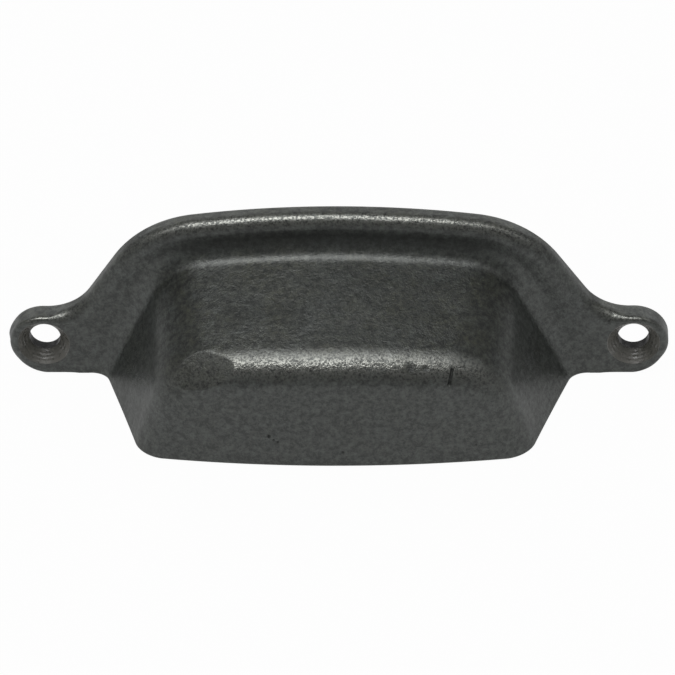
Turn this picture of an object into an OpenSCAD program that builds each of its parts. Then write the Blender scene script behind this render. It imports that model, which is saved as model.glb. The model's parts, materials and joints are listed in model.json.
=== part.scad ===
// Cast-iron cup pull: a hooded drawer handle, cast in one piece.
// A flat flange with two countersunk ears carries a hood that is hollow, open behind and below.
// Millimetres, +Z up. The back of the flange lies in the plane y = 0 and the hood stands out to -Y.
// The origin is midway between the two screw holes, on the back face.

/* [Fixing] */
// Distance between the two screw holes
hole_spacing = 96; // [90:1:128]
// Diameter of the screw holes
hole_d = 5.1; // [4:0.1:6]
// Diameter of the countersinks at the face of the ears
sink_d = 8.5; // [7:0.1:9]
// Included angle of the countersinks
sink_angle = 82; // [80:1:100]
// Height of the screw holes above the middle of the ears
hole_rise = 0.5; // [0:0.1:0.6]

/* [Flange] */
// Thickness of the flange and the ears
flange_t = 3.6; // [2.6:0.1:5]
// Width of each ear, across its round end
ear_w = 11.3; // [11:0.1:14]
// Height of the flange from the rim to the top of its arch
flange_h = 31.6; // [29:0.1:40]
// Width between the leaning sides, measured along the line of the holes
flange_w = 92.3; // [88:0.1:96]
// Lean of the flange's sides from upright, in degrees
flange_lean = 33.5; // [28:0.5:38]
// Radius of the arched top edges of the flange and the hood
arch_r = 165; // [120:1:400]
// Radius of the flange's shoulders
shoulder_r = 18.7; // [8:0.1:20]
// Radius of the hollow where each side runs into its ear
neck_r = 8.6; // [5:0.1:12]
// Radius of the rounded front edge of the flange
edge_r = 2.2; // [0.5:0.1:2.4]
// Radius of the front edge along the foot of the ears, where the rim is ground flat
foot_edge_r = 0.3; // [0.2:0.1:0.5]

/* [Hood] */
// Depth of the pull from its back face to the front of the hood
hood_depth = 27.2; // [20:0.1:34]
// Height of the hood's top above the rim, where it leaves the flange
root_h = 25.7; // [22:0.1:27]
// Height of the hood's front edge above the rim, before it is rounded
brow_h = 19.3; // [15:0.1:22]
// Width of the hood along the rim, where it leaves the flange
root_w = 77; // [70:0.1:80]
// Width of the hood along the rim, at the front
front_w = 62.2; // [50:0.1:70]
// Lean of the hood's ends from upright at the flange, in degrees
root_lean = 26; // [18:0.5:32]
// Lean of the hood's ends from upright at the front, in degrees
front_lean = 13; // [6:0.5:20]
// Radius of the hood's shoulders at the flange
root_shoulder_r = 10; // [6:0.1:14]
// Radius of the hood's shoulders at the front
front_shoulder_r = 13; // [6:0.1:14]
// Radius of the bow of the hood's front, seen from below
bow_r = 215; // [150:1:600]
// Radius of the rounded edge between the hood's walls and its front
brow_r = 5; // [2:0.1:6]
// Radius of the hollow between the flange and the hood
fillet_r = 3.5; // [1.5:0.1:5]
// Thickness of the hood's wall
wall = 3; // [2:0.1:4]
// Radius of the rounded edge inside the hood
inner_r = 1.8; // [0.8:0.1:3]

/* [Hidden] */
$fn = 96;
iron = "#3d3e3c";

// The rim is level with the bottom of the ears, so the pull can stand on it
rim_z = -hole_rise - ear_w / 2;

// Steps along each stretch of half an outline, from the rim up to the middle of the top
foot_steps = 4;
ear_steps = 14;
neck_steps = 8;
side_steps = 4;
shoulder_steps = 14;
top_steps = 9;
end_steps = foot_steps + ear_steps + neck_steps + side_steps;

// Steps across each rounded edge, and rings from the brow to the foot of the front
edge_steps = 5;
fillet_steps = 6;
brow_steps = 8;
inner_steps = 4;
front_rings = 4;
inner_rings = 2;

// Flat left between the hood's fillet and the edge of the ear, and round each countersink
land = 0.6;
sink_land = 0.2;

// Overrun of a cut
overrun = 1;

function unit(v) = v / norm(v);
function mix(a, b, t) = a + (b - a) * t;
function aim(angle) = [cos(angle), sin(angle)];

// Outline points are [x, height above the rim, angle of the outward normal]
function arc(centre, r, from, to, steps) =
    [for (i = [1 : steps]) let (a = mix(from, to, i / steps)) [each centre + r * aim(a), a]];

// Centre of a circle that touches a leaning line from inside and a larger circle from inside,
// or, with a negative radius, touches both from outside
function touching_centre(line_reach, lean, centre, radius, r) =
    let (foot = (line_reach - r) * aim(lean) - centre)
    let (up = [-sin(lean), cos(lean)])
    let (b = foot * up)
    centre + foot + up * (sqrt(b * b - foot * foot + (radius - r) ^ 2) - b);

// Shoulder and arched top of an outline, from the end of its leaning side to the middle
function crown(line_reach, lean, height, r) =
    let (hub = [0, height - arch_r])
    let (centre = touching_centre(line_reach, lean, hub, arch_r, r))
    let (turn = atan2(centre.y - hub.y, centre.x))
    concat(
        arc(centre, r, lean, turn, shoulder_steps),
        arc(hub, arch_r, turn, 90, top_steps)
    );

// Half an arch of the hood: its leaning end up to the shoulder, then the crown
function arch(height, half_w, lean, r) =
    let (reach = half_w * cos(lean))
    let (hub = [0, height - arch_r])
    let (top = touching_centre(reach, lean, hub, arch_r, r) + r * aim(lean))
    concat(
        [for (i = [0 : end_steps]) let (t = i / end_steps) [each mix([half_w, 0], top, t), lean * t]],
        crown(reach, lean, height, r)
    );

// The hood's arch at a distance f from the back face, moved in by an inset
function hood_arch(f, inset) =
    let (t = (f - flange_t) / (hood_depth - flange_t))
    let (lean = mix(root_lean, front_lean, t))
    arch(
        mix(root_h, brow_h, t) - inset,
        mix(root_w, front_w, t) / 2 - inset / cos(lean),
        lean,
        max(mix(root_shoulder_r, front_shoulder_r, t) - inset, inner_r)
    );

// Half the flange's outline: along the foot of the ear, round it, up the neck and the side, then the crown
function flange_outline() =
    let (ear_r = ear_w / 2)
    let (ear = [hole_spacing / 2, ear_r])
    let (reach = (flange_w / 2) * cos(flange_lean) + (ear_r + hole_rise) * sin(flange_lean))
    let (neck = touching_centre(reach, flange_lean, ear, ear_r, -neck_r))
    let (turn = atan2(neck.y - ear.y, neck.x - ear.x))
    let (side_top = touching_centre(reach, flange_lean, [0, flange_h - arch_r], arch_r, shoulder_r))
    let (side_a = neck - neck_r * aim(flange_lean))
    let (side_b = side_top + shoulder_r * aim(flange_lean))
    let (foot = root_w / 2 + fillet_r + foot_edge_r + land)
    concat(
        [for (i = [0 : foot_steps])
            [mix(foot, ear.x, i / foot_steps), 0, -min(90, i * 180 / foot_steps)]],
        arc(ear, ear_r, -90, turn, ear_steps),
        arc(neck, -neck_r, turn, flange_lean, neck_steps),
        [for (i = [1 : side_steps]) [each mix(side_a, side_b, i / side_steps), flange_lean]],
        crown(reach, flange_lean, flange_h, shoulder_r)
    );

// A rounded corner at p between the directions a and b, as points from one tangent to the other
function corner(p, a, b, r, steps) =
    let (half = acos(a * b) / 2)
    let (centre = p + unit(a + b) * r / sin(half))
    let (from = p + a * r / tan(half) - centre)
    let (to = p + b * r / tan(half) - centre)
    let (sweep = 180 - 2 * half)
    [for (i = [0 : steps]) let (t = i / steps)
        centre + (from * sin((1 - t) * sweep) + to * sin(t * sweep)) / sin(sweep)];

// Points in space are [x, distance from the back face, height above the rim]
function lift(p, f) = [p.x, f, p.y];
function outward(p) = [cos(p[2]), 0, sin(p[2])];

// The flange's rounded front edge grows from the foot of the ear to its round end, and narrows
// where it passes the countersink
function edge_radius(rim) =
    let (t = rim.y > 0 ? min(1, 1 + rim[2] / 90) : 0)
    let (room = norm([rim.x - hole_spacing / 2, rim.y + rim_z]) - sink_d / 2 - sink_land)
    min(mix(foot_edge_r, edge_r, t), room);

// Straight runs from the last point of a section towards the foot of the front
function rings(p, foot, count) = [for (i = [1 : count]) mix(p, foot, i / (count + 1))];

// One section of the outer skin, from the back edge of the flange to the front of the hood
function outer_section(rim, root, brow) =
    let (r = edge_radius(rim))
    let (a = lift(root, flange_t))
    let (b = lift(brow, hood_depth))
    let (along = unit(b - a))
    let (round_brow = corner(b, -along, -outward(brow), brow_r, brow_steps))
    concat(
        [lift(rim, 0)],
        [for (i = [0 : edge_steps]) let (t = 90 * i / edge_steps)
            lift(rim, flange_t - r * (1 - sin(t))) - outward(rim) * r * (1 - cos(t))],
        corner(a, outward(root), along, fillet_r, fillet_steps),
        round_brow,
        rings(round_brow[brow_steps], [0, hood_depth, 0], front_rings)
    );

// One section of the hollow, from the front of the hood back to the mouth in the back face
function inner_section(mouth, brow) =
    let (a = lift(mouth, 0))
    let (b = lift(brow, hood_depth - wall))
    let (round_brow = corner(b, -outward(brow), unit(a - b), inner_r, inner_steps))
    let (to_brow = rings(round_brow[0], [0, hood_depth - wall, 0], inner_rings))
    concat(
        [for (i = [inner_rings - 1 : -1 : 0]) to_brow[i]],
        round_brow,
        [a]
    );

// The front of the hood is bowed: points move back with their distance from the middle
function bowed(p) =
    let (t = max(0, p.y - flange_t) / (hood_depth - flange_t))
    [p.x, -p.y + t * p.x * p.x / (2 * bow_r), p.z + rim_z];

// All sections, from the right-hand rim over the top to the left-hand rim
function mirrored(half) =
    let (last = len(half) - 1)
    concat(half, [for (i = [last - 1 : -1 : 0]) [for (p = half[i]) [-p.x, p.y, p.z]]]);

function half_sections() =
    let (rim = flange_outline())
    let (root = hood_arch(flange_t, 0))
    let (brow = hood_arch(hood_depth, 0))
    let (mouth = hood_arch(0, wall))
    let (inner_brow = hood_arch(hood_depth - wall, wall))
    [for (i = [0 : len(rim) - 1])
        concat(outer_section(rim[i], root[i], brow[i]), inner_section(mouth[i], inner_brow[i]))];

// Triangles between two chains of points that run side by side
function zip(a, b) =
    let (n = len(a) - 1)
    let (m = len(b) - 1)
    let (beside = [for (k = [0 : n]) round(k * m / n)])
    [for (k = [0 : n - 1]) each [
        [a[k + 1], a[k], b[beside[k]]],
        for (j = [beside[k] : 1 : beside[k + 1] - 1]) [b[j], b[j + 1], a[k + 1]]
    ]];

// One half of the rim, between the outer and the inner skin: a fan from the mouth as far as the
// hood's wall, then a strip along the wall and the front
function rim_face(outer_chain, inner_chain) =
    let (bend = edge_steps + fillet_steps + 2)
    concat(
        zip([for (i = [0 : bend]) outer_chain[i]], [inner_chain[0]]),
        zip([for (i = [bend : len(outer_chain) - 1]) outer_chain[i]], inner_chain)
    );

// The casting before drilling: sections joined in order, with a fan to the foot of the front on
// both skins, and the two halves of the rim as end faces
module casting() {
    sections = mirrored(half_sections());
    count = len(sections);
    middle = (count - 1) / 2;
    ring = len(sections[0]);
    outer = ring - inner_rings - inner_steps - 2;
    front_foot = count * ring;
    inner_foot = front_foot + 1;
    last = (count - 1) * ring;
    outer_chain = [for (i = [0 : outer - 1]) i, front_foot];
    inner_chain = [for (i = [ring - 1 : -1 : outer]) i, inner_foot];
    function far_end(i) = i < ring ? last + i : i;
    points = concat(
        [for (s = sections) for (p = s) bowed(p)],
        [bowed([0, hood_depth, 0]), bowed([0, hood_depth - wall, 0])]
    );
    faces = concat(
        [for (s = [0 : count - 2]) for (i = [0 : ring - 1]) if (i != outer - 1)
            let (a = s * ring + i, b = s * ring + (i + 1) % ring)
            each s < middle
                ? [[a, b, a + ring], [b, b + ring, a + ring]]
                : [[a, b, b + ring], [a, b + ring, a + ring]]],
        [for (s = [0 : count - 2]) let (a = s * ring + outer - 1)
            each [[a, front_foot, a + ring], [a + 1, a + 1 + ring, inner_foot]]],
        rim_face(outer_chain, inner_chain),
        [for (t = rim_face(outer_chain, inner_chain)) [for (i = [2, 1, 0]) far_end(t[i])]]
    );
    polyhedron(points, faces, convexity = 8);
}

// A screw hole through an ear, countersunk from the front
module screw_hole() {
    sink_depth = (sink_d - hole_d) / 2 / tan(sink_angle / 2);
    rotate([90, 0, 0]) {
        translate([0, 0, -overrun])
            cylinder(d = hole_d, h = flange_t + 2 * overrun);
        translate([0, 0, flange_t - sink_depth])
            cylinder(d1 = hole_d, d2 = sink_d, h = sink_depth);
        translate([0, 0, flange_t])
            cylinder(d = sink_d, h = overrun);
    }
}

module cup_pull() {
    color(iron)
        difference() {
            casting();
            for (side = [-1, 1])
                translate([side * hole_spacing / 2, 0, 0])
                    screw_hole();
        }
}

cup_pull();
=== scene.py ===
"""Cup pull: a hooded cast-iron drawer handle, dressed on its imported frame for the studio."""

import json
import math

import bmesh
import bpy
import numpy as np
from mathutils import Matrix, Vector, noise


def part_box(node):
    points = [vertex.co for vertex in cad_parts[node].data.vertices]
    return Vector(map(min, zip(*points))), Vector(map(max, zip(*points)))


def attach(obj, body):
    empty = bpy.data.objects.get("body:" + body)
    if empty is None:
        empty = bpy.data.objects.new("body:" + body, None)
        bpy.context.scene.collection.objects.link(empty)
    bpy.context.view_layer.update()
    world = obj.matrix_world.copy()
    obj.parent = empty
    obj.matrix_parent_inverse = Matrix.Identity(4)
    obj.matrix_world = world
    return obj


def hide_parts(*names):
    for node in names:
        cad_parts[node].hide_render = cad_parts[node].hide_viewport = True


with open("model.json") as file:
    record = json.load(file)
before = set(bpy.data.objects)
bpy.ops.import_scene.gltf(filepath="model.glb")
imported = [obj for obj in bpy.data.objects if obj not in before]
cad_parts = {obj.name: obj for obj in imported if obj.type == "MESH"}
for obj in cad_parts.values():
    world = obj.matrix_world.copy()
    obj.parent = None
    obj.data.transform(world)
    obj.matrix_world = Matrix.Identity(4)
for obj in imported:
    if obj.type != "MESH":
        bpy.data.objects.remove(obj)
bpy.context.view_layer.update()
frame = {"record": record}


# The casting
# A cup pull of grey iron, sand-cast in one piece: an arched flange with two ears, and a hollow hood that
# is open behind and below. The ears are drilled and countersunk for two wood screws, the back and the rim
# are ground flat, and the whole is blackened and waxed.
MM = 0.001
X, Y, Z = range(3)

# Sizes in millimetres. Those that the frame holds are read from it.
low, high = [np.array(end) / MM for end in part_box("cup_pull")]
drilling = frame["record"]["mounts"][0]["dims"]
hole_spacing = drilling["spacing_x_mm"]
hole_r = drilling["hole_r_mm"]
ear_r = high[X] - hole_spacing / 2
hood_depth = -low[Y]
rim_z = low[Z]
flange_h = high[Z] - rim_z
sink_r = 4.25
sink_angle = math.radians(82)
flange_t = 3.6
flange_w = 92.3
flange_lean = math.radians(33.5)
arch_r = 165
shoulder_r = 18.7
neck_r = 8.6
edge_r = 2.2
foot_edge_r = 0.3
back_edge_r = 0.15
sink_land = 0.2  # flat left between a countersink and the rounded edge
root_h, brow_h = 25.7, 19.3
root_w, front_w = 77, 62.2
root_lean, front_lean = math.radians(26), math.radians(13)
root_shoulder_r, front_shoulder_r = 10, 13
bow_r = 215
brow_r = 5
brow_ease = 1.4  # how much further back on the top the brow starts to round, for its slow first turn
fillet_r = 3.5
wall = 3
inner_r = 1.8
mouth_edge_r = 0.4
rim_edge_r = 0.5

# Steps along half an outline, from the rim up to the middle of the top, and across each strip of the skin
foot_steps, ear_steps, neck_steps, side_steps = 8, 40, 20, 12
shoulder_steps, top_steps = 36, 44
end_steps = foot_steps + ear_steps + neck_steps + side_steps
crowding = 1.6  # how much closer the steps come together towards the rim, for its rounded edge


def mix(a, b, t):
    return a + (b - a) * t


def unit(v):
    return v / np.linalg.norm(v, axis=-1, keepdims=True)


def aim(angle):
    return np.stack([np.cos(angle), np.sin(angle)], axis=-1)


def arc(centre, radius, start, end, steps):
    """Outline points after the first: x, height above the rim, angle of the outward normal."""
    angle = np.linspace(start, end, steps + 1)[1:]
    return np.column_stack([centre + radius * aim(angle), angle])


def touching_centre(reach, lean, centre, radius, r):
    """Centre of a circle of radius r that touches a leaning line and a larger circle from inside."""
    foot = (reach - r) * aim(lean) - centre
    up = np.array([-math.sin(lean), math.cos(lean)])
    b = foot @ up
    return centre + foot + up * (math.sqrt(b * b - foot @ foot + (radius - r) ** 2) - b)


def crown(reach, lean, height, radius):
    """The shoulder and the arched top of an outline."""
    hub = np.array([0, height - arch_r])
    centre = touching_centre(reach, lean, hub, arch_r, radius)
    turn = math.atan2(centre[1] - hub[1], centre[0])
    return np.vstack([
        arc(centre, radius, lean, turn, shoulder_steps),
        arc(hub, arch_r, turn, math.pi / 2, top_steps),
    ])


def hood_arch(depth, inset):
    """Half the hood's arch at a depth from the back face, moved in by an inset."""
    t = (depth - flange_t) / (hood_depth - flange_t)
    lean = mix(root_lean, front_lean, t)
    height = mix(root_h, brow_h, t) - inset
    half_w = mix(root_w, front_w, t) / 2 - inset / math.cos(lean)
    radius = max(mix(root_shoulder_r, front_shoulder_r, t) - inset, inner_r)
    reach = half_w * math.cos(lean)
    hub = np.array([0, height - arch_r])
    top = touching_centre(reach, lean, hub, arch_r, radius) + radius * aim(lean)
    climb = np.linspace(0, 1, end_steps + 1) ** crowding
    end = np.column_stack([mix(np.array([half_w, 0]), top, climb[:, None]), lean * climb])
    return np.vstack([end, crown(reach, lean, height, radius)])


def flange_outline():
    """Half the flange: along the foot of the ear, round it, up the neck and the side, then the crown."""
    ear = np.array([hole_spacing / 2, ear_r])
    reach = flange_w / 2 * math.cos(flange_lean) - rim_z * math.sin(flange_lean)
    neck = touching_centre(reach, flange_lean, ear, ear_r, -neck_r)
    turn = math.atan2(neck[1] - ear[1], neck[0] - ear[0])
    hub = np.array([0, flange_h - arch_r])
    side_top = touching_centre(reach, flange_lean, hub, arch_r, shoulder_r) + shoulder_r * aim(flange_lean)
    side_foot = neck - neck_r * aim(flange_lean)
    land_x = root_w / 2 + fillet_r + 3 * foot_edge_r
    along_foot = np.linspace(0, 1, foot_steps + 1)
    foot = np.column_stack([
        mix(land_x, ear[0], along_foot),
        np.zeros(foot_steps + 1),
        -np.minimum(math.pi / 2, along_foot * math.pi),
    ])
    along_side = np.linspace(0, 1, side_steps + 1)[1:, None]
    side = mix(side_foot, side_top, along_side)
    return np.vstack([
        foot,
        arc(ear, ear_r, -math.pi / 2, turn, ear_steps),
        arc(neck, -neck_r, turn, flange_lean, neck_steps),
        np.column_stack([side, np.full(side_steps, flange_lean)]),
        crown(reach, flange_lean, flange_h, shoulder_r),
    ])


def lift(outline, depth):
    """Outline points in space: x, depth from the back face, height above the rim."""
    return np.column_stack([outline[:, 0], np.full(len(outline), depth), outline[:, 1]])


def outward(outline):
    return np.column_stack([np.cos(outline[:, 2]), np.zeros(len(outline)), np.sin(outline[:, 2])])


def corner(point, a, b, radius, steps):
    """Rounded corners at points, between the directions a and b."""
    half = np.arccos((a * b).sum(1, keepdims=True)) / 2
    centre = point + unit(a + b) * radius / np.sin(half)
    start = (point + a * radius / np.tan(half) - centre)[:, None]
    end = (point + b * radius / np.tan(half) - centre)[:, None]
    sweep = (math.pi - 2 * half)[:, None]
    t = np.linspace(0, 1, steps + 1)[:, None]
    return centre[:, None] + (start * np.sin((1 - t) * sweep) + end * np.sin(t * sweep)) / np.sin(sweep)


def eased_corner(point, a, b, radius, ease, steps):
    """Corners rounded about as much, that start further out along a and turn slowly at first."""
    half = np.arccos((a * b).sum(1, keepdims=True)) / 2
    start = (a * ease * radius / np.tan(half))[:, None]
    end = (b * radius / np.tan(half))[:, None]
    t = np.linspace(0, 1, steps + 1)[:, None]
    hold = 0.41  # how far the curve keeps to the directions of its ends
    from_start = (1 - t) ** 3 + 3 * hold * (1 - t) ** 2 * t
    from_end = t**3 + 3 * hold * t**2 * (1 - t)
    return point[:, None] + start * from_start + end * from_end


def rounded_edge(outline, depth, into, radius, steps):
    """A rounded edge of the flange at a depth, from its side to its face; into is the way to its middle."""
    turn = np.linspace(0, math.pi / 2, steps + 1)[:, None]
    radius = radius[:, None, None]
    forward = np.array([0, into, 0])
    return (
        lift(outline, depth)[:, None]
        + forward * radius * (1 - np.sin(turn))
        - outward(outline)[:, None] * radius * (1 - np.cos(turn))
    )


def run(start, end, steps, power=1.0):
    """Straight runs of points between two rows, without the rows themselves."""
    t = 1 - (1 - np.linspace(0, 1, steps + 1)[1:-1, None]) ** power
    return mix(start[:, None], end[:, None], t)


def share_of_rim(row):
    """How far along the rim each point of an arch belongs, from 1 at the rim to 0 in the middle."""
    lengths = np.linalg.norm(np.diff(row, axis=0), axis=1)
    return 1 - np.concatenate([[0], np.cumsum(lengths)]) / lengths.sum()


def front_foot(row):
    """The points on the rim below an arch of the front."""
    foot = row.copy()
    foot[:, X] = row[0, X] * share_of_rim(row)
    foot[:, Z] = 0
    return foot


rim = flange_outline()
root, brow = hood_arch(flange_t, 0), hood_arch(hood_depth, 0)
mouth, inner_brow = hood_arch(0, wall), hood_arch(hood_depth - wall, wall)

# The front edge of the flange is sharp at the ground foot and narrows where it passes the countersink
grown = np.where(rim[:, 1] > 0, np.minimum(1, 1 + rim[:, 2] / (math.pi / 2)), 0)
room = np.hypot(rim[:, 0] - hole_spacing / 2, rim[:, 1] + rim_z) - sink_r - sink_land
edge_radius = np.minimum(mix(foot_edge_r, edge_r, grown), room)

root_line, brow_line = lift(root, flange_t), lift(brow, hood_depth)
along_hood = unit(brow_line - root_line)
mouth_line, inner_line = lift(mouth, 0), lift(inner_brow, hood_depth - wall)
along_hollow = unit(mouth_line - inner_line)

back_edge = rounded_edge(rim, 0, into=1, radius=np.full(len(rim), back_edge_r), steps=3)[:, ::-1]
front_edge = rounded_edge(rim, flange_t, into=-1, radius=edge_radius, steps=9)
fillet = corner(root_line, outward(root), along_hood, fillet_r, steps=14)
brow_onset = mix(1, brow_ease, np.sin(brow[:, 2:]))
round_brow = eased_corner(brow_line, -along_hood, -outward(brow), brow_r, brow_onset, steps=20)
hood_top = run(fillet[:, -1], round_brow[:, 0], steps=30)
outer_foot = front_foot(round_brow[:, -1])
inner_round = corner(inner_line, -outward(inner_brow), along_hollow, inner_r, steps=8)
inner_foot = front_foot(inner_round[:, 0])
mouth_edge = corner(mouth_line, -along_hollow, outward(mouth), mouth_edge_r, steps=4)

# The skin in order, from the back edge over the front and through the hollow to the back face. Each strip
# has two rows of marks from its start to its end: how much handling has polished it, from -1 in sheltered
# hollows, which are also painted darker as shade, to 1 on rubbed edges, whose bright iron is partly a painted
# highlight, and how far its foot takes part in the rounded edge of the rim.
strips = [
    (back_edge, (0, 0.3, 0), (0, 0)),
    (run(back_edge[:, -1], front_edge[:, 0], steps=5), (0, 0), (0, 0)),
    (front_edge, (0, 0.9, 0.3, -0.4), (0, 0)),
    (run(front_edge[:, -1], fillet[:, 0], steps=16), (-0.4, -1), (0, 0)),
    (fillet, (-1, -1, -0.6, 0, -0.1), (0, 1)),
    (hood_top, (-0.1, 0), (1, 1)),
    (round_brow, (0, 0.5, 1, 0.3, 0, 0), (1, 1)),
    (run(round_brow[:, -1], outer_foot, steps=40, power=crowding), (0, 0), (1, 1)),
    (outer_foot[:, None], (0, 0), (1, 1)),
    (run(outer_foot, inner_foot, steps=4), (0, 0), (0, 0)),
    (inner_foot[:, None], (0, 0), (1, 1)),
    (run(inner_round[:, 0], inner_foot, steps=20, power=crowding)[:, ::-1], (0, -1), (1, 1)),
    (inner_round, (-1, -1), (1, 1)),
    (run(inner_round[:, -1], mouth_edge[:, 0], steps=20), (-1, 0), (1, 1)),
    (mouth_edge, (0, 0.3, 0), (1, 1)),
    (run(mouth_edge[:, -1], back_edge[:, 0], steps=8), (0, 0), (0, 0)),
]


def spread(marks, count):
    """Marks at even steps along a strip."""
    return np.interp(np.linspace(0, len(marks) - 1, count), np.arange(len(marks)), marks)


half_skin = np.concatenate([points for points, _, _ in strips], axis=1)
polishing_highlight_and_shade = np.concatenate([spread(marks, points.shape[1]) for points, marks, _ in strips])
on_rim = np.concatenate([spread(marks, points.shape[1]) for points, _, marks in strips])
brow_looks_up, rim_looks_up = [np.clip(np.sin(outline[:, 2:]), 0, 1) for outline in (brow, rim)]
on_hood = (on_rim > 0) | (polishing_highlight_and_shade < 0)
polish_and_highlight_fade = 4  # how fast the polish fades where an edge turns from looking up at the softbox to looking sideways; this keeps the bright rubbed iron, partly a painted highlight, where the highlight falls
polishing_highlight_and_shade = polishing_highlight_and_shade * np.where(on_hood, brow_looks_up, rim_looks_up) ** polish_and_highlight_fade
skin = np.concatenate([half_skin, half_skin[-2::-1] * [-1, 1, 1]])
polishing_highlight_and_shade = np.concatenate([polishing_highlight_and_shade, polishing_highlight_and_shade[-2::-1]])
stations, ring = skin.shape[:2]

# The front is bowed: the skin moves back with its distance from the middle
reach_forward = np.maximum(0, skin[..., Y] - flange_t) / (hood_depth - flange_t)
skin[..., Y] = -skin[..., Y] + reach_forward * skin[..., X] ** 2 / (2 * bow_r)
skin[..., Z] += rim_z

# Flaws of this casting: a lump at the left end of the brow dressed off with a file, which leaves a facet
# slightly round across; a nick and two shallow dents in the right of the brow; pits in the front
facet_middle = np.array([-20.5, -24.45, 10.54])
facet_facing = unit(np.array([-0.28, -0.668, 0.69]))
facet_across = unit(np.array([0.304, 0.576, 0.758]))
facet_r, facet_reach, filed_polish = 40, 7.0, 0.24
nick_top, nick_foot = np.array([19.1, -24.45, 11.85]), np.array([18.6, -26.0, 9.95])
nick_r, nick_depth = 0.42, 0.4
pits = [  # middle, radius, depth and how full of wax: first the dents in the brow, then the pits in the front
    (np.array([12.4, -25.0, 12.4]), 1.3, 0.08, 0.6),
    (np.array([14.9, -24.85, 12.2]), 0.9, 0.06, 0.6),
    (np.array([-10.14, -26.95, 0.06]), 0.5, 0.25, 1),
    (np.array([-8.75, -27.02, -1.14]), 0.4, 0.15, 1),
    (np.array([-9.4, -27.0, -0.7]), 0.35, 0.12, 1),
    (np.array([1.57, -27.19, -3.08]), 0.4, 0.2, 1),
    (np.array([22.7, -26.0, -2.4]), 0.3, 0.1, 1),
]

corner_ids = np.arange(stations * ring).reshape(stations, ring)
next_ids = np.roll(corner_ids, -1, axis=1)
quads = np.stack([corner_ids[:-1], corner_ids[1:], next_ids[1:], next_ids[:-1]], axis=-1).reshape(-1, 4)
iron_mesh = bpy.data.meshes.new("cup_pull_casting")
iron_mesh.from_pydata(skin.reshape(-1, 3).tolist(), [], quads.tolist())
for name, marks in (("polish_highlight_and_shade", polishing_highlight_and_shade), ("on_rim", np.tile(on_rim, (stations, 1)))):
    mark = iron_mesh.attributes.new(name, "FLOAT", "POINT")
    mark.data.foreach_set("value", marks.astype(np.float32).ravel())
shell = bmesh.new()
shell.from_mesh(iron_mesh)
weld_gap = 1e-4
bmesh.ops.remove_doubles(shell, verts=shell.verts, dist=weld_gap)

# A finer mesh round the flaws, so that they have crisp edges
finer_patches = [  # middle, reach and cuts
    (facet_middle, 7.5, 1),
    (nick_top, 1.6, 3),
    (nick_foot, 1.6, 3),
    *[(pit, 3 * pit_r, 2) for pit, pit_r, _, _ in pits],
]
for spot, reach, cuts in finer_patches:
    edges = [
        edge
        for edge in shell.edges
        if all((vert.co - Vector(spot)).length < reach for vert in edge.verts)
    ]
    bmesh.ops.subdivide_edges(shell, edges=edges, cuts=cuts, use_grid_fill=True)
shell.to_mesh(iron_mesh)


def read_values(items, name, width):
    """One value, or a row of as many as the width, for each point of a mesh."""
    values = np.empty(len(items) * width, np.float32)
    items.foreach_get(name, values)
    return values.reshape(-1, width).astype(float).squeeze()


# The rim's edges are rounded: near the ground plane the skin turns in towards the metal
places = read_values(iron_mesh.vertices, "co", 3)
normals = read_values(iron_mesh.vertex_normals, "vector", 3)
polish_highlight_and_shade = read_values(iron_mesh.attributes["polish_highlight_and_shade"].data, "value", 1)
meets_rim = read_values(iron_mesh.attributes["on_rim"].data, "value", 1)
height = np.clip(places[:, Z] - rim_z, 0, rim_edge_r)
turn_in = rim_edge_r - np.sqrt(rim_edge_r**2 - (rim_edge_r - height) ** 2)
sideways = normals * [1, 1, 0]
never_zero = 1e-6
sideways /= np.maximum(np.linalg.norm(sideways, axis=1, keepdims=True), never_zero)
places -= sideways * (turn_in * meets_rim)[:, None]
rim_polish = 0.5
polish_highlight_and_shade = mix(polish_highlight_and_shade, rim_polish, meets_rim * (1 - height / rim_edge_r))


def ripple(points, size, seed):
    """Smooth noise from -1 to 1, with bumps of about that size in millimetres."""
    offset = Vector((seed, seed * 1.7, seed * 2.3))
    return np.array([noise.noise(Vector(p) / size + offset) for p in points])


# The sand mould leaves the cast faces slightly uneven; the ground back and rim stay flat
flat_reach = 1.5
swells = ((0.09, 11, 3), (0.04, 4, 8), (0.016, 1.6, 13))  # height, size and seed
off_ground = np.clip(np.minimum(-places[:, Y], places[:, Z] - rim_z) / flat_reach, 0, 1)
uneven = sum(swell * ripple(places, size, seed) for swell, size, seed in swells)
places += normals * (uneven * off_ground)[:, None]


def smooth_fall(distance):
    """1 at no distance, easing to 0 at a distance of 1."""
    near = np.clip(1 - distance, 0, 1)
    return near * near * (3 - 2 * near)


def distance_from_line(start, end):
    """Each point's distance from the line between two places."""
    start, end = np.array(start), np.array(end)
    share = np.clip((places - start) @ (end - start) / ((end - start) @ (end - start)), 0, 1)
    return np.linalg.norm(places - start - share[:, None] * (end - start), axis=1)


# The filed facet
from_middle = places - facet_middle
proud = from_middle @ facet_facing + (from_middle @ facet_across) ** 2 / (2 * facet_r)
near_facet = np.linalg.norm(from_middle, axis=1) < facet_reach
places -= facet_facing * (np.maximum(proud, 0) * near_facet)[:, None]
polish_highlight_and_shade = np.where((proud > 0) & near_facet, filed_polish, polish_highlight_and_shade)

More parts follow.
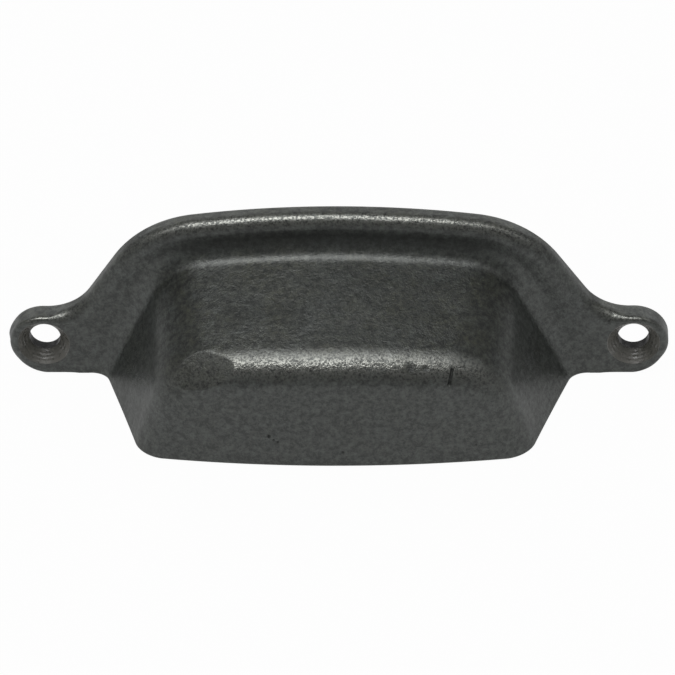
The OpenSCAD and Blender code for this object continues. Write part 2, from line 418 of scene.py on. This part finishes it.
# The nick and the pits, in which black wax has stayed; the sheltered corners between the flange and the hood
# are darkened the same way, which is painted shade
nick = smooth_fall(distance_from_line(nick_top, nick_foot) / nick_r)
corner_shade, corner_shade_from, corner_shade_full = 0.4, -0.6, -1.0  # share of painted shade in the sheltered corners, and the polish at which it starts and is full
sheltered = np.clip((corner_shade_from - polish_highlight_and_shade) / (corner_shade_from - corner_shade_full), 0, 1)
hollow, dirt_and_corner_shade = nick_depth * nick, np.maximum(nick, corner_shade * sheltered)
for pit, pit_r, pit_depth, waxed in pits:
    pitted = smooth_fall(np.linalg.norm(places - pit, axis=1) / pit_r)
    hollow += pit_depth * pitted
    dirt_and_corner_shade = np.maximum(dirt_and_corner_shade, waxed * pitted)
places -= normals * hollow[:, None]
polish_highlight_and_shade = mix(polish_highlight_and_shade, -1, dirt_and_corner_shade)

# A little flash left on the outer end of the left ear
flash_foot, flash_top = (-53.6, -0.9, 0.2), (-53.4, -1.1, 1.6)
flash_r, flash_w = 1.5, 0.28
places[:, X] -= flash_w * smooth_fall(distance_from_line(flash_foot, flash_top) / flash_r)

iron_mesh.vertices.foreach_set("co", (places * MM).astype(np.float32).ravel())
iron_mesh.attributes["polish_highlight_and_shade"].data.foreach_set("value", polish_highlight_and_shade.astype(np.float32))
iron_mesh.attributes.new("dirt_and_corner_shade", "FLOAT", "POINT").data.foreach_set("value", dirt_and_corner_shade.astype(np.float32))
shell.clear()
shell.from_mesh(iron_mesh)
bmesh.ops.edgeloop_fill(shell, edges=[edge for edge in shell.edges if edge.is_boundary])
bmesh.ops.recalc_face_normals(shell, faces=shell.faces)
shell.to_mesh(iron_mesh)
shell.free()


cone_depth = (sink_r - hole_r) / math.tan(sink_angle / 2)


def screw_hole_cutter(side):
    """The drill and the countersink as one turned tool, with the rings that the tool leaves in the cone."""
    ring_pitch, ring_depth, overrun = 0.42, 0.02, 1.5
    lip_w, lip_share, lip_slope = 0.35, 0.75, 0.45
    cone_rows, lip_rows, segments = 33, 5, 96
    up_cone = np.linspace(0, 1, cone_rows)
    cone_r = mix(hole_r, sink_r, up_cone)
    cone_y = mix(flange_t - cone_depth, flange_t, up_cone)
    rings = np.sin(2 * math.pi * (cone_r - hole_r) / ring_pitch)
    cone_y -= ring_depth * rings * np.sin(math.pi * up_cone)
    over_lip = np.linspace(0, lip_share, lip_rows)[1:]
    lip = [(sink_r + lip_w * t, flange_t + lip_w * lip_slope * t * (1 - t)) for t in over_lip]
    profile = [(hole_r, -overrun), *zip(cone_r, cone_y), *lip]
    profile.append((profile[-1][0] + lip_w, flange_t + overrun))
    tool = bmesh.new()
    rows = []
    for radius, depth in profile:
        turns = [2 * math.pi * i / segments for i in range(segments)]
        rows.append([
            tool.verts.new((
                (side * hole_spacing / 2 + radius * math.cos(t)) * MM,
                -depth * MM,
                radius * math.sin(t) * MM,
            ))
            for t in turns
        ])
    for row, above in zip(rows, rows[1:]):
        for i in range(segments):
            j = (i + 1) % segments
            tool.faces.new((row[i], row[j], above[j], above[i]))
    tool.faces.new(rows[0])
    tool.faces.new(rows[-1])
    bmesh.ops.recalc_face_normals(tool, faces=tool.faces)
    mesh = bpy.data.meshes.new("screw_hole_cutter")
    tool.to_mesh(mesh)
    tool.free()
    cutter = bpy.data.objects.new("screw_hole_cutter", mesh)
    bpy.context.scene.collection.objects.link(cutter)
    return cutter


def linear(hex_colour):
    """An sRGB hex colour as linear RGBA."""
    values = [int(hex_colour[i : i + 2], 16) / 255 for i in (1, 3, 5)]
    return (*[v / 12.92 if v <= 0.04045 else ((v + 0.055) / 1.055) ** 2.4 for v in values], 1.0)


def add_node(tree, kind, settings=None, links=None):
    """Adds a node with its settings and input values, and links into it from other nodes or sockets."""
    node = tree.nodes.new(kind)
    sockets = {socket.identifier: socket for socket in node.inputs}
    for name, value in (settings or {}).items():
        if name in sockets:
            sockets[name].default_value = value
        else:
            setattr(node, name, value)
    for name, source in (links or {}).items():
        if isinstance(source, bpy.types.Node):
            source = next(socket for socket in source.outputs if socket.enabled)
        tree.links.new(source, sockets[name])
    return node


def new_material(name):
    """A material with an empty node tree."""
    material = bpy.data.materials.new(name)
    material.use_nodes = True
    material.node_tree.nodes.clear()
    return material


# Sand-cast iron, blackened and waxed: a black, satin skin that browns in clouds, most on faces that look up,
# with a faint green cast in its sheen. The sand leaves a fine grain. Handling rubs the tops of that grain back
# to bright iron along the edges, so their highlights sparkle; that bright iron is kept to where the edges look
# up at the softbox, so it is partly a painted highlight. The sheltered corners are painted darker as shade.
# The grain is drawn a little coarser than real sand so that it shows.
cloud_size, stain_size, lump_size, grain_size = 7, 1.0, 1.4, 0.4
lump_height, grain_height = 0.045, 0.04
black_oxide_ior = 2.0
waxed_iron = new_material("waxed_sand_cast_iron")
tree = waxed_iron.node_tree
coordinates = add_node(tree, "ShaderNodeTexCoord")
in_mm = add_node(
    tree,
    "ShaderNodeVectorMath",
    {"operation": "SCALE", "Scale": 1 / MM},
    {"Vector": coordinates.outputs["Object"]},
)
clouds, stains, lumps, grain = [
    add_node(
        tree,
        "ShaderNodeTexNoise",
        {"Scale": 1 / size, "Detail": detail, "Roughness": 0.85},
        {"Vector": in_mm},
    )
    for size, detail in ((cloud_size, 5), (stain_size, 3), (lump_size, 1), (grain_size, 1))
]
facing = add_node(tree, "ShaderNodeSeparateXYZ", links={"Vector": coordinates.outputs["Normal"]})
looks_up = add_node(
    tree,
    "ShaderNodeMapRange",
    {"From Min": 0.4, "From Max": 0.95, "To Min": 0.3, "To Max": 1.0},
    {"Value": facing.outputs["Z"]},
)
browning = add_node(
    tree,
    "ShaderNodeMapRange",
    {"From Min": 0.36, "From Max": 0.62},
    {"Value": clouds, "To Max": looks_up},
)
brown_tone = add_node(
    tree,
    "ShaderNodeMix",
    {"data_type": "RGBA", "A_Color": linear("#414644"), "B_Color": linear("#383924")},
    {"Factor_Float": browning},
)
sooting = add_node(
    tree,
    "ShaderNodeMapRange",
    {"From Min": 0.35, "From Max": 0.61},
    {"Value": stains},
)
sooty_tone = add_node(
    tree,
    "ShaderNodeMix",
    {"data_type": "RGBA", "B_Color": linear("#141514")},
    {"Factor_Float": sooting, "A_Color": brown_tone},
)
polish_highlight_and_shade_mark = add_node(tree, "ShaderNodeAttribute", {"attribute_name": "polish_highlight_and_shade"})
grain_tops = add_node(
    tree,
    "ShaderNodeMapRange",
    {"From Min": 0.36, "From Max": 0.58},
    {"Value": grain},
)
# Bright iron on the grain tops along the edges: partly real wear, partly a painted highlight, since it is kept
# where the edges look up at the softbox
rubbing_and_highlight = add_node(
    tree,
    "ShaderNodeMath",
    {"operation": "MULTIPLY", "use_clamp": True},
    {"Value": polish_highlight_and_shade_mark.outputs["Fac"], "Value_001": grain_tops},
)
rubbed_and_highlight_tone = add_node(
    tree,
    "ShaderNodeMix",
    {"data_type": "RGBA", "B_Color": linear("#a9aaa4")},
    {"Factor_Float": rubbing_and_highlight, "A_Color": sooty_tone},
)
# Near black where wax has stayed in the nick and the pits, and painted shade in the sheltered corners
dirt_and_shade_mark = add_node(tree, "ShaderNodeAttribute", {"attribute_name": "dirt_and_corner_shade"})
dirt_and_shade_tone = add_node(
    tree,
    "ShaderNodeMix",
    {"data_type": "RGBA", "B_Color": linear("#141413")},
    {"Factor_Float": dirt_and_shade_mark.outputs["Fac"], "A_Color": rubbed_and_highlight_tone},
)
dullness = add_node(
    tree,
    "ShaderNodeMapRange",
    {"From Min": -1.0, "From Max": 0.0, "To Min": 0.65, "To Max": 0.36},
    {"Value": polish_highlight_and_shade_mark.outputs["Fac"]},
)
gloss = add_node(
    tree,
    "ShaderNodeMapRange",
    {"To Max": 0.24},
    {"Value": rubbing_and_highlight, "To Min": dullness},
)
clean_sheen = add_node(tree, "ShaderNodeMapRange", {"To Min": 0.6, "To Max": 0.42}, {"Value": sooting})
sheen = add_node(
    tree,
    "ShaderNodeMapRange",
    {"From Min": -1.0, "From Max": 0.0, "To Min": 0.34},
    {"Value": polish_highlight_and_shade_mark.outputs["Fac"], "To Max": clean_sheen},
)
lump_bump = add_node(
    tree,
    "ShaderNodeBump",
    {"Strength": 1.0, "Distance": lump_height * MM},
    {"Height": lumps},
)
grain_bump = add_node(
    tree,
    "ShaderNodeBump",
    {"Strength": 1.0, "Distance": grain_height * MM},
    {"Height": grain, "Normal": lump_bump},
)
shader = add_node(
    tree,
    "ShaderNodeBsdfPrincipled",
    {"IOR": black_oxide_ior, "Specular Tint": linear("#fafefa")},
    {
        "Base Color": dirt_and_shade_tone,
        "Metallic": rubbing_and_highlight,
        "Roughness": gloss,
        "Specular IOR Level": sheen,
        "Normal": grain_bump,
    },
)
add_node(tree, "ShaderNodeOutputMaterial", links={"Surface": shader})

# The countersinks, cut through the cast skin and waxed over: smoother, lighter metal in fine rings, with
# the bores behind them painted near black as shade
cone_foot_y, bore_edge = cone_depth - flange_t, 0.1
cut_iron = new_material("waxed_countersunk_iron")
tree = cut_iron.node_tree
coordinates = add_node(tree, "ShaderNodeTexCoord")
in_mm = add_node(
    tree,
    "ShaderNodeVectorMath",
    {"operation": "SCALE", "Scale": 1 / MM},
    {"Vector": coordinates.outputs["Object"]},
)
stains = add_node(
    tree,
    "ShaderNodeTexNoise",
    {"Scale": 1 / stain_size, "Detail": 3, "Roughness": 0.6},
    {"Vector": in_mm},
)
tone = add_node(
    tree,
    "ShaderNodeMix",
    {"data_type": "RGBA", "A_Color": linear("#62635f"), "B_Color": linear("#7d7a71")},
    {"Factor_Float": stains},
)
place = add_node(tree, "ShaderNodeSeparateXYZ", links={"Vector": in_mm})
in_bore = add_node(
    tree,
    "ShaderNodeMapRange",
    {"From Min": cone_foot_y - bore_edge, "From Max": cone_foot_y + bore_edge},
    {"Value": place.outputs["Y"]},
)
# The bores are painted near black and made dull: painted shade inside the holes
bore_shade_tone = add_node(
    tree,
    "ShaderNodeMix",
    {"data_type": "RGBA", "B_Color": linear("#141413")},
    {"Factor_Float": in_bore, "A_Color": tone},
)
sheen = add_node(tree, "ShaderNodeMapRange", {"To Min": 0.5, "To Max": 0.1}, {"Value": in_bore})
gloss = add_node(
    tree,
    "ShaderNodeMapRange",
    {"From Min": 0.35, "From Max": 0.65, "To Min": 0.22, "To Max": 0.5},
    {"Value": stains},
)
scuffs = add_node(
    tree,
    "ShaderNodeTexNoise",
    {"Scale": 1 / grain_size, "Detail": 1, "Roughness": 0.6},
    {"Vector": in_mm},
)
scuff_bump = add_node(
    tree,
    "ShaderNodeBump",
    {"Strength": 1.0, "Distance": grain_height * MM},
    {"Height": scuffs},
)
shader = add_node(
    tree,
    "ShaderNodeBsdfPrincipled",
    {"IOR": black_oxide_ior},
    {"Base Color": bore_shade_tone, "Roughness": gloss, "Specular IOR Level": sheen, "Normal": scuff_bump},
)
add_node(tree, "ShaderNodeOutputMaterial", links={"Surface": shader})

iron_mesh.materials.append(waxed_iron)
iron_mesh.materials.append(cut_iron)
casting = bpy.data.objects.new("cup_pull_casting", iron_mesh)
bpy.context.scene.collection.objects.link(casting)
cutters = [screw_hole_cutter(side) for side in (-1, 1)]
for cutter in cutters:
    cutter.data.materials.append(cut_iron)
    drill = casting.modifiers.new("drill", "BOOLEAN")
    drill.operation = "DIFFERENCE"
    drill.solver = "EXACT"
    drill.material_mode = "TRANSFER"
    drill.object = cutter
drilled = bpy.data.meshes.new_from_object(casting.evaluated_get(bpy.context.evaluated_depsgraph_get()))
casting.modifiers.clear()
casting.data = drilled
for cutter in cutters:
    bpy.data.objects.remove(cutter)
drilled.shade_smooth()
crease_angle = math.radians(40)
drilled.set_sharp_from_angle(angle=crease_angle)
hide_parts("cup_pull")
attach(casting, "root")


# The floor
# A wide white paper sweep that the pull stands on. Seen directly it is white, and it still darkens a little
# where the pull keeps the light off; the metal mirrors it nearly as it is lit. From below it is clear, so
# that the underside can be looked at.
floor_half = 4.0
floor_gap = 0.02  # millimetres under the ground rim, so that the two don't share a plane
seen_white, mirrored_white = 0.975, 0.18
floor_z = (rim_z - floor_gap) * MM
floor_mesh = bpy.data.meshes.new("floor")
floor_mesh.from_pydata(
    [(x * floor_half, y * floor_half, floor_z) for x, y in ((-1, -1), (1, -1), (1, 1), (-1, 1))],
    [],
    [(0, 1, 2, 3)],
)
paper = new_material("white_paper")
tree = paper.node_tree
light_path = add_node(tree, "ShaderNodeLightPath")
mirrored_share = add_node(
    tree,
    "ShaderNodeMath",
    {"operation": "MULTIPLY", "Value_001": mirrored_white},
    {"Value": light_path.outputs["Is Glossy Ray"]},
)
white_share = add_node(
    tree,
    "ShaderNodeMath",
    {"operation": "MULTIPLY_ADD", "Value_001": seen_white},
    {"Value": light_path.outputs["Is Camera Ray"], "Value_002": mirrored_share},
)
matt = add_node(tree, "ShaderNodeBsdfDiffuse", {"Color": linear("#f2f2f2")})
glow = add_node(tree, "ShaderNodeEmission", {"Color": linear("#ffffff"), "Strength": 1.0})
blend = add_node(
    tree,
    "ShaderNodeMixShader",
    links={"Fac": white_share, "Shader": matt, "Shader_001": glow},
)
face = add_node(tree, "ShaderNodeNewGeometry")
clear = add_node(tree, "ShaderNodeBsdfTransparent")
one_sided = add_node(
    tree,
    "ShaderNodeMixShader",
    links={"Fac": face.outputs["Backfacing"], "Shader": blend, "Shader_001": clear},
)
add_node(tree, "ShaderNodeOutputMaterial", links={"Surface": one_sided})
floor_mesh.materials.append(paper)
floor = bpy.data.objects.new("floor", floor_mesh)
bpy.context.scene.collection.objects.link(floor)


# The light
# A softbox almost straight above, a long diffuser that carries its light out to both sides, a pale wall far
# behind, and the dim room all round.
wall_level, ceiling_level, ceiling_from = 0.3, 0.06, 0.6
panels = [  # name, middle in metres, turn in degrees, width, depth and radiance
    ("softbox", (-0.15, -0.16, 1.0), 0, 0.6, 0.54, 2.35),
    ("long_diffuser", (0.1, -0.16, 1.05), 0, 3.2, 0.56, 0.65),
    ("pale_wall", (0.0, 1.6, 0.9), 75, 3.2, 1.2, 0.8),
]
for name, middle, turn, width, depth, radiance in panels:
    panel_light = bpy.data.lights.new(name, "AREA")
    panel_light.shape = "RECTANGLE"
    panel_light.size, panel_light.size_y = width, depth
    panel_light.energy = radiance * math.pi * width * depth
    panel = bpy.data.objects.new(name, panel_light)
    panel.location = middle
    panel.rotation_euler = (math.radians(-turn), 0, 0)
    bpy.context.scene.collection.objects.link(panel)
studio = bpy.data.worlds.new("studio")
studio.use_nodes = True
tree = studio.node_tree
coordinates = add_node(tree, "ShaderNodeTexCoord")
way = add_node(tree, "ShaderNodeSeparateXYZ", links={"Vector": coordinates.outputs["Generated"]})
room_level = add_node(
    tree,
    "ShaderNodeMapRange",
    {"From Min": 0.0, "From Max": ceiling_from, "To Min": wall_level, "To Max": ceiling_level},
    {"Value": way.outputs["Z"]},
)
background = tree.nodes["Background"]
tree.links.new(room_level.outputs["Result"], background.inputs["Strength"])
background.inputs["Color"].default_value = linear("#ffffff")
bpy.context.scene.world = studio
bpy.context.scene.view_settings.view_transform = "Standard"


# The camera
# A long lens at the photograph's viewing angle: it looks down on the pull at 39 degrees, from a little to
# the right, and leans a little.
camera_elevation, camera_azimuth, camera_roll = map(math.radians, (39.035, 3.444, -2.199))
camera_distance = 0.7234
camera_target = Vector((-0.242, 0, -1.632)) * MM
picture_px, focal_px, sensor_mm = 675, 4425, 36
lens_data = bpy.data.cameras.new("camera")
lens_data.sensor_width = sensor_mm
lens_data.lens = focal_px / picture_px * sensor_mm
to_camera = Vector((
    math.sin(camera_azimuth) * math.cos(camera_elevation),
    -math.cos(camera_azimuth) * math.cos(camera_elevation),
    math.sin(camera_elevation),
))
right = Vector((math.cos(camera_azimuth), math.sin(camera_azimuth), 0))
upright = Matrix((right, to_camera.cross(right), to_camera)).transposed()
camera = bpy.data.objects.new("camera", lens_data)
camera.matrix_world = (
    Matrix.Translation(camera_target + to_camera * camera_distance)
    @ (upright @ Matrix.Rotation(camera_roll, 3, "Z")).to_4x4()
)
bpy.context.scene.collection.objects.link(camera)
bpy.context.scene.camera = camera
